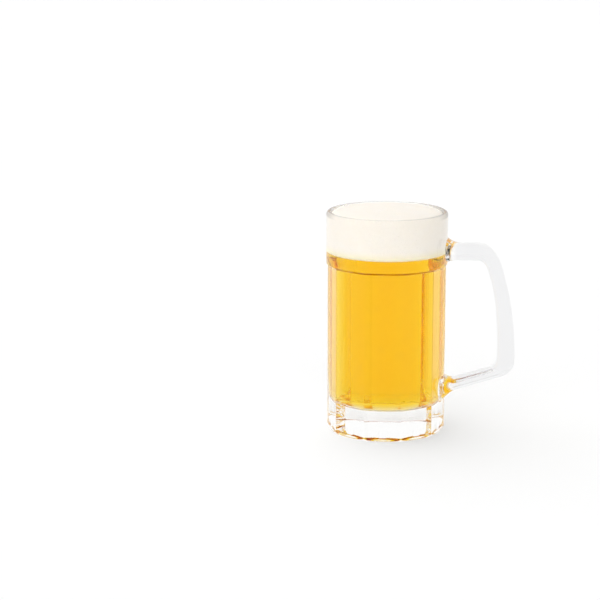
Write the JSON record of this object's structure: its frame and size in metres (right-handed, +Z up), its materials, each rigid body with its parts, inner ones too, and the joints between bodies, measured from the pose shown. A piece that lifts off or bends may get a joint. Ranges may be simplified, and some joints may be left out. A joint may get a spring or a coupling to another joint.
{
  "type": "beer mug",
  "caption": "Straight pressed-glass beer mug with a round collar, flat panels, a thick base and a D-shaped handle, filled with pale beer under a head of foam.",
  "frame": {"origin": "on the mug's axis, at the middle of its foot", "axes": "+Z up along the mug's axis, +X out through the middle of the handle"},
  "size_m": [0.1284, 0.082, 0.152],
  "materials": {
    "glass": "clear polished",
    "beer": "clear golden liquid",
    "foam": "matte froth"
  },
  "bodies": {
    "root": {"glass_body": "glass", "handle": "glass", "beer": "beer", "foam_head": "foam"}
  },
  "joints": []
}
